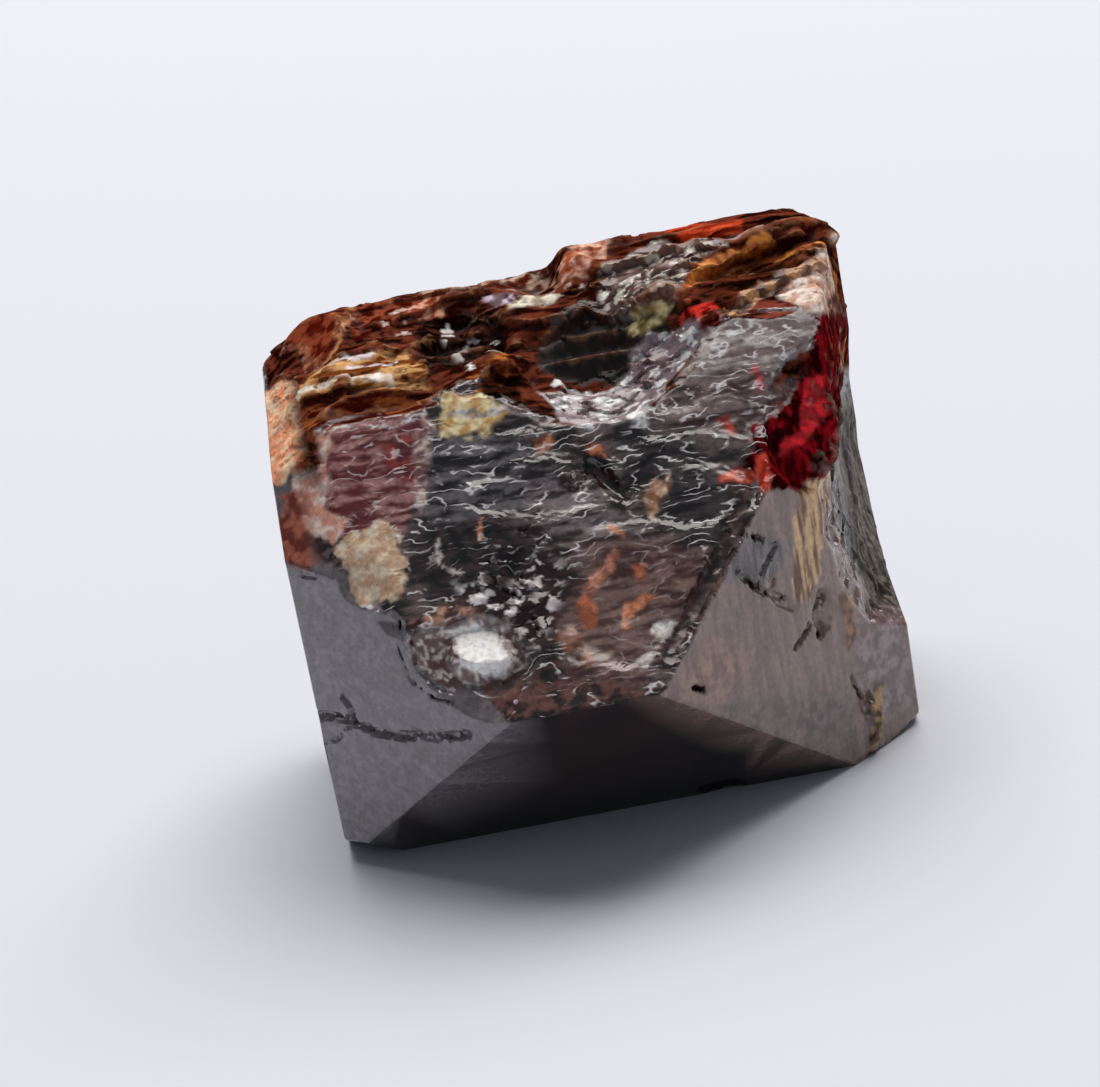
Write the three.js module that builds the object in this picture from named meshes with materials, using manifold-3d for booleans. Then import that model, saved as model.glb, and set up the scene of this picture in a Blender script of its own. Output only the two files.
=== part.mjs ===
// Zircon crystal: a short square prism broken from its matrix, with one four-faced pyramid end.
// Millimetres, +Z up. The crystal lies on one prism face and its pyramid points to -Y, so
// the long axis of the lattice runs along Y. The origin is on the resting face, at its middle.

import * as THREE from 'three';
import { mergeVertices } from 'three/addons/utils/BufferGeometryUtils.js';
import { ImprovedNoise } from 'three/addons/math/ImprovedNoise.js';
import Module from 'manifold-3d';

// Driving dimensions

const axialRatio = 0.9054; // lattice height over lattice width, which sets the pyramid's slope
const prismWidth = 23.9;
const prismBack = 7.4; // Y of the uncut block behind the broken end
const blankHeight = 23;
const frontReach = 15; // how far the uncut block runs towards -Y

// Each pyramid face is given by the Y at which its plane crosses the middle of the resting face.
const lowerFaceY = -6.6;
const upperFaceY = -20.3;
const leftFaceY = -17.54;
const rightFaceY = -14.56;

// The broken top: a rough slope that climbs from the upper pyramid face to a crest at the back.
const topBreak = {
  width: 25.6,
  depth: 15.2,
  centreX: 0,
  centreY: 0.4,
  cellsX: 50,
  cellsY: 30,
  frontHeight: 17.35,
  frontY: -4.55,
  slope: 0.3,
  crestY: 2.9,
  backFall: 0.36,
};
const topStep = { height: 0.65, startX: 5.9, startY: -3.85, lean: 0.85, run: 0.8 };
const topLeftFall = { startX: -8.1, rate: 0.12 };
const topRightFall = { startX: 10.1, rate: 0.35 };

// Crests that stand up from the broken top: a path, its rise, and how far it fades each way.
const topRibs = [
  { path: [[1.4, 3.6], [10.6, 3.8]], rise: 0.2, front: 0.5, back: 1.2 },
  {
    path: [[11.8, 1.2], [8.8, 1.6], [7.5, 1.5], [5.7, 0.1], [4.6, -0.3]],
    rise: 0.5,
    front: 0.35,
    back: 0.9,
  },
  { path: [[11.4, 0.1], [8.3, -1.1], [6.6, -1.6], [3.3, -2]], rise: 0.4, front: 0.35, back: 0.8 },
  { path: [[-10.4, -2], [-6.8, -2.5]], rise: 0.3, front: 0.35, back: 1.2 },
  { path: [[-9.4, -1.3], [-7.2, -0.5]], rise: 0.25, front: 0.35, back: 0.9 },
  { path: [[-4.6, -3.9], [-2.6, -2.5]], rise: 0.5, front: 0.4, back: 0.8 },
  { path: [[-2.2, 0.4], [0.5, 1.1], [2.2, 2.4]], rise: 0.4, front: 0.4, back: 1.1 },
];

// Shell-like hollows in the broken top: centre, reach along X and Y, and depth.
const topDishes = [
  { at: [1.3, -4.7], reach: [4.1, 3.1], depth: 1.35 },
  { at: [0.6, -1.6], reach: [3.2, 2.2], depth: 0.7 },
  { at: [-3.3, 0], reach: [1.9, 2.3], depth: 0.7 },
  { at: [-6.8, -3.3], reach: [3.7, 1.1], depth: 0.5 },
  { at: [7.9, 0.1], reach: [3.2, 1.1], depth: 0.6 },
  { at: [6.2, 2.5], reach: [4.4, 1], depth: 0.6 },
];
const topHackle = { height: 0.32, spanX: 1.9, spanY: 0.85, offset: 3.7 };

// The rough break above the lower right corner, and the broken back end.
const rightBreak = {
  at: [10.6, -3.9, 10],
  facing: [0.955, -0.29, 0.06],
  width: 24,
  height: 22,
  cellsX: 26,
  cellsY: 24,
  hollow: 1.0,
  hollowReach: 5.6,
  lowestV: -4.3,
  liftRate: 0.5,
  hackle: { height: 0.35, spanX: 1.6, spanY: 2.1, offset: 11.3 },
};
const backBreak = {
  at: [0, 5.7, 10],
  facing: [0, 1, 0],
  width: 26,
  height: 24,
  cellsX: 26,
  cellsY: 22,
  bow: 1.1,
  bowReach: 13,
  hackle: { height: 0.75, spanX: 4.6, spanY: 3.1, offset: 23.9 },
};

// Wavy furrows etched into the upper pyramid face, inside an oval.
const etching = {
  at: [1.2, -7.05, 14.63],
  width: 17,
  height: 12,
  cellsX: 38,
  cellsY: 26,
  depth: 0.2,
  flatShare: 0.42,
  spacing: 1.55,
  waviness: 1.3,
  waveSpanX: 3.4,
  waveSpanY: 2.2,
  rimHeight: 0.3,
};

// Flat chips off the corners: a point on the chip's face and the way that face looks.
const cornerChips = [
  { at: [-10, -4.49, 17.46], facing: [-0.551, -0.489, 0.673] },
  { at: [-9.55, -8.9, 12.44], facing: [-0.44, -0.665, 0.593] },
  { at: [-11, -7.4, 0.95], facing: [-0.4, -0.5, -0.95] },
  { at: [11.3, -4.3, 0.25], facing: [0.55, -0.35, -0.85] },
  { at: [-11.2, 5.2, 18.2], facing: [-0.7, 0.6, 0.6] },
  { at: [-11.4, 5.4, 2.4], facing: [-0.75, 0.65, -0.3] },
];

// Conchoidal scoops: centre, the way each opens, and its reach across, along and into the stone.
const scoops = [
  {
    name: 'bright hollow, outer shell',
    at: [-5.55, -12.15, 9.65],
    facing: [-0.42, -0.82, 0.36],
    reach: [3.1, 2.3, 1.0],
    rough: 0.08,
  },
  {
    name: 'bright hollow, inner shell',
    at: [-5.1, -12.0, 9.75],
    facing: [-0.3, -0.82, 0.45],
    reach: [2.4, 1.65, 1.25],
    rough: 0.12,
  },
  {
    name: 'pale chip',
    at: [-8.8, -9.2, 12.9],
    facing: [-0.45, -0.75, 0.35],
    reach: [1.6, 1.5, 0.75],
    rough: 0.25,
  },
  {
    name: 'red window',
    at: [9.2, -6.6, 14.9],
    facing: [0.62, -0.75, 0.22],
    reach: [2.9, 3.6, 1.55],
    rough: 0.1,
  },
  {
    name: 'chip on the left ridge',
    at: [-8.25, -10.15, 11.2],
    facing: [-0.6, -0.75, 0.2],
    reach: [0.75, 0.95, 0.4],
    rough: 0.3,
  },
  {
    name: 'chip on the right face',
    at: [8.3, -7.2, 7.3],
    facing: [0.67, -0.74, 0],
    reach: [0.8, 1.3, 0.3],
    rough: 0.5,
  },
  {
    name: 'hackly hollow',
    at: [-2.6, -9.6, 12.2],
    facing: [0, -0.741, 0.671],
    reach: [2.4, 1.5, 0.4],
    rough: 0.35,
  },
  {
    name: 'rusty hollow',
    at: [0.3, -10.85, 10.5],
    facing: [0, -0.741, 0.671],
    reach: [3.0, 2.5, 0.32],
    rough: 0.35,
  },
  {
    name: 'notch at the resting edge',
    at: [3.3, -6.9, 0.2],
    facing: [0, -0.75, -0.3],
    reach: [1.1, 0.7, 0.4],
    rough: 0.2,
  },
];

// Grooves: straight shallow furrows from one point to another.
const grooves = [
  { from: [1.7, -12.35, 8.75], to: [5.9, -9.0, 12.45], width: 0.42, depth: 0.32 },
  { from: [5.9, -9.0, 12.45], to: [6.9, -7.2, 14.4], width: 0.35, depth: 0.3 },
  { from: [0.1, -6.6, 15.0], to: [1.5, -8.1, 13.4], width: 0.42, depth: 0.5 },
  { from: [6.1, -9.03, 8.9], to: [7.3, -7.95, 7.6], width: 0.2, depth: 0.22 },
  { from: [6.6, -8.58, 10.2], to: [6.2, -8.94, 8.9], width: 0.18, depth: 0.2 },
];

const pitRow = { from: [-11.9, -6.78, 6.4], to: [-6.3, -11.8, 6.5], count: 13, size: 0.24, sway: 0.16 };
const goldenGrain = { at: [9.75, -5.85, 1.35], reach: [0.36, 0.34, 1.25], lean: 0.12, rough: 0.3 };

const colours = { stone: 0x3a1c1a };

// Solids

const wasm = await Module();
wasm.setup();
const noise = new ImprovedNoise();

function toSolid(geometry) {
  const bare = geometry.clone();
  bare.deleteAttribute('normal');
  bare.deleteAttribute('uv');
  const merged = mergeVertices(bare, 1e-5);
  const vertProperties = new Float32Array(merged.attributes.position.array);
  const triVerts = new Uint32Array(merged.index.array);
  return new wasm.Manifold(new wasm.Mesh({ numProp: 3, vertProperties, triVerts }));
}

function toGeometry(solid) {
  const mesh = solid.getMesh();
  const geometry = new THREE.BufferGeometry();
  geometry.setAttribute('position', new THREE.BufferAttribute(mesh.vertProperties, mesh.numProp));
  geometry.setIndex(new THREE.BufferAttribute(mesh.triVerts, 1));
  geometry.computeVertexNormals();
  return geometry;
}

// A frame at a point whose third axis is the given way, with its second axis as near to up as it can be.
function frameAt(at, facing) {
  const outward = new THREE.Vector3(...facing).normalize();
  const isUpright = Math.abs(outward.z) > 0.99;
  const guide = isUpright ? new THREE.Vector3(0, 1, 0) : new THREE.Vector3(0, 0, 1);
  const across = guide.cross(outward).normalize();
  const along = outward.clone().cross(across);
  return new THREE.Matrix4().makeBasis(across, along, outward).setPosition(...at);
}

// All the space on the outer side of a flat face.
function beyond(at, facing) {
  const size = 60;
  const block = new THREE.BoxGeometry(size, size, size);
  block.translate(0, 0, size / 2);
  return toSolid(block.applyMatrix4(frameAt(at, facing)));
}

// A ball stretched to its three reaches. Its skin is pushed in and out by the share given as rough.
function lump(place, reach, rough) {
  const ball = new THREE.SphereGeometry(1, 20, 14);
  const points = ball.attributes.position;
  const point = new THREE.Vector3();
  for (let i = 0; i < points.count; i += 1) {
    point.fromBufferAttribute(points, i);
    const wave = noise.noise(2.1 * point.x + reach[0], 2.1 * point.y + reach[1], 2.1 * point.z);
    point.multiplyScalar(1 + rough * wave);
    points.setXYZ(i, point.x * reach[0], point.y * reach[1], point.z * reach[2]);
  }
  return toSolid(ball.applyMatrix4(place));
}

// A furrow is a long thin spindle with six sides, laid along its line.
function furrow({ from, to, width, depth }) {
  const start = new THREE.Vector3(...from);
  const end = new THREE.Vector3(...to);
  const middle = start.clone().lerp(end, 0.5);
  const spindle = new THREE.SphereGeometry(1, 6, 8);
  spindle.scale(width, start.distanceTo(end) / 2, depth);
  const along = end.clone().sub(start).normalize();
  const outward = new THREE.Vector3(0, -1, 1).cross(along).cross(along).negate().normalize();
  const across = along.clone().cross(outward);
  const place = new THREE.Matrix4().makeBasis(across, along, outward).setPosition(middle);
  return toSolid(spindle.applyMatrix4(place));
}

// Everything outside a rough face. The near face of a block is pushed to the relief's height.
function beyondRelief(width, height, cellsX, cellsY, reliefAt) {
  const thickness = 30;
  const block = new THREE.BoxGeometry(width, height, thickness, cellsX, cellsY, 1);
  const points = block.attributes.position;
  for (let i = 0; i < points.count; i += 1) {
    const isNear = points.getZ(i) < 0;
    points.setZ(i, isNear ? reliefAt(points.getX(i), points.getY(i)) : thickness);
  }
  return block;
}

// Relief

function ramp(value, from, to) {
  return THREE.MathUtils.smoothstep(value, from, to);
}

function hackleAt(x, y, { height, spanX, spanY, offset }) {
  const broad = noise.noise(x / spanX, y / spanY, offset);
  const fine = noise.noise((2.3 * x) / spanX, (2.3 * y) / spanY, offset + 5);
  const ridge = 0.5 - Math.abs(broad);
  return height * (ridge + 0.5 * fine);
}

function ribAt(x, y, { path, rise, front, back }) {
  const point = new THREE.Vector2(x, y);
  let height = 0;
  for (let i = 1; i < path.length; i += 1) {
    const start = new THREE.Vector2(...path[i - 1]);
    const run = new THREE.Vector2(...path[i]).sub(start);
    const share = THREE.MathUtils.clamp(point.clone().sub(start).dot(run) / run.lengthSq(), 0, 1);
    const nearest = start.clone().addScaledVector(run, share);
    const gap = point.distanceTo(nearest);
    const fade = y > nearest.y ? back : front;
    height = Math.max(height, rise * Math.exp(-((gap / fade) ** 2)));
  }
  return height;
}

function dishAt(x, y, { at, reach, depth }) {
  const squared = ((x - at[0]) / reach[0]) ** 2 + ((y - at[1]) / reach[1]) ** 2;
  return squared < 1 ? depth * (1 - squared) : 0;
}

function topHeightAt(x, y) {
  const stepEdge = x - topStep.startX + topStep.lean * (y - topStep.startY);
  let height = topBreak.frontHeight + topBreak.slope * (y - topBreak.frontY);
  height += topStep.height * ramp(stepEdge, -topStep.run, topStep.run);
  height -= topBreak.backFall * Math.max(0, y - topBreak.crestY) ** 2;
  height -= topLeftFall.rate * Math.max(0, topLeftFall.startX - x) ** 2;
  height -= topRightFall.rate * Math.max(0, x - topRightFall.startX) ** 2;
  for (const rib of topRibs) {
    height += ribAt(x, y, rib);
  }
  for (const dish of topDishes) {
    height -= dishAt(x, y, dish);
  }
  return height + hackleAt(x, y, topHackle);
}

function topCutter() {
  const { width, depth, centreX, centreY, cellsX, cellsY } = topBreak;
  const reliefAt = (x, y) => topHeightAt(x + centreX, y + centreY);
  const block = beyondRelief(width, depth, cellsX, cellsY, reliefAt);
  return toSolid(block.translate(centreX, centreY, 0));
}

function etchedReliefAt(u, v) {
  const edge = Math.hypot((2 * u) / etching.width, (2 * v) / etching.height);
  const wave = etching.waviness * noise.noise(u / etching.waveSpanX, v / etching.waveSpanY, 0.7);
  const furrow = Math.abs(Math.sin((Math.PI * (v + wave)) / etching.spacing));
  const rim = etching.rimHeight * ramp(edge, 0.6, 1);
  return rim - etching.depth * (furrow - etching.flatShare);
}

function etchingCutter() {
  const { at, width, height, cellsX, cellsY } = etching;
  const block = beyondRelief(width, height, cellsX, cellsY, etchedReliefAt);
  return toSolid(block.applyMatrix4(frameAt(at, [0, -1, axialRatio])));
}

function rightCutter() {
  const { at, facing, width, height, cellsX, cellsY } = rightBreak;
  const { hollow, hollowReach, lowestV, liftRate, hackle } = rightBreak;
  const reliefAt = (u, v) => {
    const bowl = hollow * Math.max(0, 1 - (v / hollowReach) ** 2);
    const lift = liftRate * Math.max(0, lowestV - v) ** 2;
    return hackleAt(u, v, hackle) + lift - bowl;
  };
  const block = beyondRelief(width, height, cellsX, cellsY, reliefAt);
  return toSolid(block.applyMatrix4(frameAt(at, facing)));
}

function backCutter() {
  const { at, facing, width, height, cellsX, cellsY, bow, bowReach, hackle } = backBreak;
  const reliefAt = (u, v) => bow * (1 - (Math.hypot(u, v) / bowReach) ** 2) + hackleAt(u, v, hackle);
  const block = beyondRelief(width, height, cellsX, cellsY, reliefAt);
  return toSolid(block.applyMatrix4(frameAt(at, facing)));
}

function pitCutters() {
  const start = new THREE.Vector3(...pitRow.from);
  const end = new THREE.Vector3(...pitRow.to);
  const pits = [];
  for (let i = 0; i < pitRow.count; i += 1) {
    const sway = pitRow.sway * Math.sin(2.4 * i);
    const size = pitRow.size * (1 + 0.35 * Math.cos(1.7 * i));
    const pit = new THREE.OctahedronGeometry(size);
    pit.scale(1.5, 1, 0.8);
    const centre = start.clone().lerp(end, i / (pitRow.count - 1));
    pit.translate(centre.x, centre.y, centre.z + sway);
    pits.push(toSolid(pit));
  }
  return pits;
}

// The crystal

function pyramidEndedPrism() {
  const length = frontReach + prismBack;
  const blank = new THREE.BoxGeometry(prismWidth, length, blankHeight);
  blank.translate(0, prismBack - length / 2, blankHeight / 2);
  const faces = [
    { at: [0, lowerFaceY, 0], facing: [0, -1, -axialRatio] },
    { at: [0, upperFaceY, 0], facing: [0, -1, axialRatio] },
    { at: [0, leftFaceY, 0], facing: [-axialRatio, -1, 0] },
    { at: [0, rightFaceY, 0], facing: [axialRatio, -1, 0] },
  ];
  return faces.reduce((body, face) => body.subtract(beyond(face.at, face.facing)), toSolid(blank));
}

function crystal() {
  let body = pyramidEndedPrism();
  for (const chip of cornerChips) {
    body = body.subtract(beyond(chip.at, chip.facing));
  }
  for (const cutter of [topCutter(), rightCutter(), backCutter(), etchingCutter(), ...pitCutters()]) {
    body = body.subtract(cutter);
  }
  for (const scoop of scoops) {
    body = body.subtract(lump(frameAt(scoop.at, scoop.facing), scoop.reach, scoop.rough));
  }
  for (const groove of grooves) {
    body = body.subtract(furrow(groove));
  }
  const grainPlace = new THREE.Matrix4().makeRotationY(goldenGrain.lean).setPosition(...goldenGrain.at);
  body = body.add(lump(grainPlace, goldenGrain.reach, goldenGrain.rough));
  return body.subtract(beyond([0, 0, 0], [0, 0, -1]));
}

const stone = new THREE.MeshStandardMaterial({ color: colours.stone, roughness: 0.25, metalness: 0 });
const zircon = new THREE.Mesh(toGeometry(crystal()), stone);
zircon.name = 'zircon_crystal';

const specimen = new THREE.Group();
specimen.add(zircon);

export default specimen;
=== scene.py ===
import math
import bpy
import numpy as np
from mathutils import Matrix, Vector, noise


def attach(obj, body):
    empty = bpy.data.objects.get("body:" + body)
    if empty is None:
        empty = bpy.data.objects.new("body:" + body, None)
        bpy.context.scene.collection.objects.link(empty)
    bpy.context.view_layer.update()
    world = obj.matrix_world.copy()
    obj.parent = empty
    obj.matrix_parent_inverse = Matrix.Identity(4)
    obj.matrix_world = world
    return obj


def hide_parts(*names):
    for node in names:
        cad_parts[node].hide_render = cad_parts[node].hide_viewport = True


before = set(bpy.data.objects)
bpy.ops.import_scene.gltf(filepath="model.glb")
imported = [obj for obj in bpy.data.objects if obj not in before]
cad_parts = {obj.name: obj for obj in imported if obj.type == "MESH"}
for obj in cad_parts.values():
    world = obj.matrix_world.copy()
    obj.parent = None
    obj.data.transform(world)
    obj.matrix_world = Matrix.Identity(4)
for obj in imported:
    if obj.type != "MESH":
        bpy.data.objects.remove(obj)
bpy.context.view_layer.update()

mm = 0.001
faint = 0.01  # shares below this are left out


def linear(hexColour):  # sRGB hex to linear RGBA
    channels = [int(hexColour[i:i + 2], 16) / 255 for i in (1, 3, 5)]
    return [c / 12.92 if c <= 0.04045 else ((c + 0.055) / 1.055) ** 2.4 for c in channels] + [1.0]


def selectOnly(piece):
    bpy.ops.object.select_all(action="DESELECT")
    piece.select_set(True)
    bpy.context.view_layer.objects.active = piece


def addObject(name, data):
    piece = bpy.data.objects.new(name, data)
    bpy.context.scene.collection.objects.link(piece)
    return piece


def applyModifier(piece, kind, **settings):
    selectOnly(piece)
    modifier = piece.modifiers.new(kind.title(), kind)
    for name, value in settings.items():
        setattr(modifier, name, value)
    bpy.ops.object.modifier_apply(modifier=modifier.name)


# The crystal's own faces, as planes in mm: outward normal, then a point on the face.
slope = 0.9054  # height over width of the zircon lattice
faces = {
    "upper": ((0, -1, slope), (0, -20.3, 0)),
    "lower": ((0, -1, -slope), (0, -6.6, 0)),
    "left": ((-slope, -1, 0), (0, -17.54, 0)),
    "right": ((slope, -1, 0), (0, -14.56, 0)),
    "leftSide": ((-1, 0, 0), (-11.95, 0, 0)),
    "rightSide": ((1, 0, 0), (11.95, 0, 0)),
    "base": ((0, 0, -1), (0, 0, 0)),
}

crystal = {
    "weld": 0.002,       # mm, joins the loose triangles
    "grain": 0.12,       # mm, size of the new faces
    "triangles": 197000,
    "sharpAngle": 24,    # degrees, chips meet in a hard edge past this
    "flatGap": 0.03,     # mm, a point this near a crystal face is still on it
    "breakGap": 0.14,    # mm, a point this far off it is surely broken
    "smoothRounds": 10,
    # mm where each region begins and is full
    "backFrom": (5.0, 5.8),       # along y
    "topFrom": (15.4, 16.2),      # along z, at 5 mm in front of the middle
    "sideFrom": (8.4, 9.4),       # along x
    "reliefFrom": (0.25, 0.9),    # over the floor, because the resting face stays flat
    "uprightTo": (0.05, 0.4),     # how far a normal leans up where a wall turns into a tread
    "calm": 0.85,                 # share of the chips that a cleavage takes away
    # sharp ledges of the top: points along the lip, height, how far back it fades
    "ledges": {
        "blockRim": ([(11, 1), (10.2, 0.8), (9, 1), (7.6, 0.8), (6.4, 0), (5.2, -1.7)], 0.45, 2.6),
        "flakeLip": ([(1.7, 1), (3.5, 1.3), (5.9, 0.9)], 0.4, 1.5),
        "scallopLip": ([(11.6, -0.6), (9.6, -1.6), (8.4, -2.1), (6.9, -3.1)], 0.25, 1.6),
        "hollowLip": ([(-1, -1.1), (1.4, 0), (3, -1.2), (4.6, -2.2)], 0.45, 1.5),
        "yellowLip": ([(-10.6, -2.1), (-8.4, -2.4), (-6.6, -2.6), (-5, -3)], 0.12, 1.4),
        "lilacLip": ([(-10, 0), (-8, -0.3), (-6.2, -0.7), (-5.4, -1.4)], 0.15, 1.3),
        "bandLip": ([(-10.6, -4.3), (-7, -4.7), (-4.8, -4.8)], 0.15, 1.5),
        "spurLip": ([(-4.1, -4.6), (-2.7, -3.1), (-1.5, -2.8)], 0.2, 1.2),
        "browLip": ([(-2.6, 0.3), (-1.2, -0.3), (0.8, -0.4)], 0.4, 1.2),
        "backLip": ([(-6.6, 1.4), (-4, 2.4), (-1.6, 2.3)], 0.25, 1.2),
        "leftLip": ([(-7.9, 3.4), (-8.2, 1.9), (-9, 0.6), (-9.9, -0.3)], 0.2, 1),
        "blockStreak": ([(6.5, 2.2), (8.2, 2), (10.4, 2.2)], 0.2, 0.9),
    },
    # swells and dents of the top: centre, half sizes, rise
    "swells": [((-0.3, 3.3), (1.5, 2.6), -0.75), ((2.2, 3.4), (1, 2), -0.15), ((11.9, -1.2), (0.9, 1.6),
        0.35)],
    # flat cleavages: centre, outward normal, half sizes of the patch
    "cleavages": {
        "glint": ((-5.1, -11.15, 9.75), (0.07, -0.55, 0.83), (1.6, 1.4, 1.4)),
        "window": ((8.9, -5.8, 14.6), (0.45, -0.72, 0.5), (1.9, 2.2, 2.9)),
        "midGlint": ((-0.7, -3.1, 17), (0.1, -0.42, 0.9), (0.9, 0.6, 0.8)),
        "blockFace": ((6.4, 2.3, 20.1), (0, -0.66, 0.75), (5.4, 1.1, 1.2)),
        "leftFace": ((-9.6, 1.6, 19), (-0.45, -0.45, 0.8), (2, 2.2, 1.4)),
        "hollowLeft": ((-4.2, -0.6, 18.2), (-0.1, 0.25, 0.97), (1.7, 1.1, 0.9)),
        "brownBand": ((-7.6, -3.3, 17.6), (0, -0.8, 0.6), (2.8, 0.8, 0.9)),
        "hollowMid": ((1, -1.9, 17.5), (0, 0.25, 0.97), (2.3, 1.3, 0.9)),
        "scallop": ((8.6, -0.6, 19.1), (0.1, 0.15, 0.98), (2, 0.8, 0.7)),
    },
    # stairs of the top: mm from step to step, drop of each, share of a step that the drop takes, how
    # far the right half's steps turn, where they end at the back and begin at the left
    "stairs": {"run": 1.5, "drop": 0.14, "riser": 0.12, "turnFrom": 2, "turnSlope": 0.34,
               "behind": (2.4, 3.2), "rightOf": (-3, 3)},
    # cracks and grooves: points along each, width, depth
    "cracks": {
        "leftCrack": ([(-12.1, -6.5, 6.5), (-11.2, -7.4, 6.6), (-10.6, -7.9, 6.5), (-9.8, -8.6, 6.2),
            (-8.8, -9.6, 6.2), (-7.8, -10.5, 6.45), (-7.1, -11.2, 6.5), (-6.2, -12, 6.8)], 0.24, 0.22),
        "leftFork": ([(-10.6, -7.9, 6.5), (-10.5, -8, 7), (-10.8, -7.8, 7.5)], 0.2, 0.18),
        "leftTail": ([(-10.7, -7.9, 6.3), (-11.3, -7.3, 5.6), (-12, -6.7, 5.2)], 0.12, 0.1),
        "leftScratch": ([(-11.4, -7.2, 12.6), (-10.9, -7.7, 12.6)], 0.14, 0.1),
        "arcOuter": ([(-7.9, -9.9, 11), (-8.2, -10.1, 10), (-8, -10.3, 8.8), (-7.4, -10.8, 8.2),
            (-6.5, -11.5, 8)], 0.13, 0.08),
        "arcInner": ([(-7.6, -10.3, 10.4), (-7.6, -10.6, 9.3), (-7, -11, 8.5), (-6.3, -11.5, 8.3)],
            0.13, 0.1),
        "rightTop": ([(4.8, -9.5, 12.2), (5.5, -9.4, 11.7), (6.2, -8.9, 11.2)], 0.2, 0.15),
        "rightBow": ([(5, -10, 10.5), (5.6, -9.4, 9.5), (5.9, -9.2, 9.2), (6.7, -8.4, 8.4)], 0.22,
            0.15),
        "rightBranch": ([(6.7, -8.5, 10.7), (6.1, -9, 10.1), (5.7, -9.3, 9.4)], 0.2, 0.15),
        "rightSlash": ([(6.7, -8.4, 6.2), (7.3, -7.9, 6.5), (7.6, -7.6, 6.8)], 0.2, 0.18),
        "rightGash": ([(8, -7.2, 6.2), (8.1, -7.1, 7.1), (8.4, -6.9, 7.6)], 0.36, 0.2),
        "rightNick": ([(9.1, -6.3, 3.7), (9.4, -6, 2.6)], 0.16, 0.12),
        "rightPit": ([(2.5, -12.2, 7.1), (2.9, -11.9, 6.8)], 0.24, 0.1),
    },
    "groove": ([(5.6, -9, 12.7), (4.3, -10, 11.1), (3.1, -11.1, 9.8), (1.9, -12.4, 8.8)], 0.55, 0.16),
    # splintered spots of the top, each with its reach
    "splinters": [((5.2, 0.4, 19.8), 1.5), ((3.9, -0.8, 19.3), 1.5), ((3.2, -3.4, 17.2), 1.3),
        ((1.2, -4.6, 16.2), 1.2), ((-0.6, -3.6, 16.8), 1.1), ((-2.9, 0.3, 18.5), 1.2),
        ((-5.5, -2.2, 18.3), 1.2), ((-6.8, 0.6, 18.9), 1.1), ((2.2, 1, 19.6), 1), ((-1.2, 1.4, 19),
        1.2), ((6.4, -2.8, 18.6), 0.8), ((-10.9, 0.4, 18.1), 1.2)],
    # hackly hollows of the front, each with its reach
    "hackles": [((-3.6, -9.7, 11.9), 1.5), ((-3, -10.9, 10.4), 0.9), ((-2.4, -8.8, 12.9), 0.9),
        ((-0.2, -7.2, 14.4), 0.8)],
    # relief in the order it is laid: kind, area, size of its cells in mm, height in mm
    "relief": [
        ("chips", "calmTop", (2.6, 1.4, 1.4), 0.14),
        ("chips", "topAndSplinters", (0.95, 0.5, 0.5), 0.2),
        ("chips", "calmSplinters", (0.45, 0.32, 0.32), 0.06),
        ("rough", "plainTop", (1.4, 0.25, 0.25), 0.02),
        ("chips", "hackles", (0.65, 0.55, 0.55), 0.3),
        ("chips", "side", (0.7, 0.7, 1.2), 0.12),
        ("rough", "side", (0.35, 0.35, 0.6), 0.08),
        ("chips", "back", (5.0, 5.0, 3.4), 0.55),
        ("chips", "back", (1.6, 1.6, 0.9), 0.14),
        ("chips", "back", (0.7, 0.7, 0.5), 0.07),
    ],
    # growth terraces of the upper facet: mm from step to step, how far waves bend them, height, shares
    # of a step that rise and drop, y and z of the way down, and where and round what the right ones curl
    "terraces": {"run": 0.46, "wander": 3.4, "height": 0.03, "rises": 0.82, "drops": 0.18,
                 "downhill": (-0.671, -0.741), "curlFrom": 3.8, "curlAt": (6.3, -7.1)},
}


def vectorsOf(piece, name):
    values = np.empty(len(piece.data.vertices) * 3, np.float32)
    piece.data.vertices.foreach_get(name, values)
    return values.reshape(-1, 3).astype(float)


def pointsOf(piece):  # in mm
    return vectorsOf(piece, "co") / mm


def heightOver(points, face):  # mm outside the face's plane
    normal, through = faces[face]
    normal = np.array(normal) / np.linalg.norm(normal)
    return (points - np.array(through)) @ normal


def ramp(value, low, high):
    share = np.clip((value - low) / (high - low), 0, 1)
    return share * share * (3 - 2 * share)


def gapTo(points, path):  # mm from the path
    gap = np.full(len(points), 1e9)
    for start, end in zip(path, path[1:]):
        run = end - start
        share = np.clip(((points - start) @ run) / (run @ run), 0, 1)
        gap = np.minimum(gap, np.linalg.norm(points - start - share[:, None] * run, axis=1))
    return gap


def noisesAt(points, size, octaves):
    return np.array([noise.fractal(Vector(point), 1.0, 2.0, octaves) for point in points / size])


def spotsAt(points, spots):  # 1 inside any of the spots, fading to 0 at its reach
    cover = np.zeros(len(points))
    for at, reach in spots:
        gap = np.linalg.norm(points - np.array(at), axis=1)
        cover = np.maximum(cover, 1 - ramp(gap, 0.6 * reach, reach))
    return cover


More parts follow.
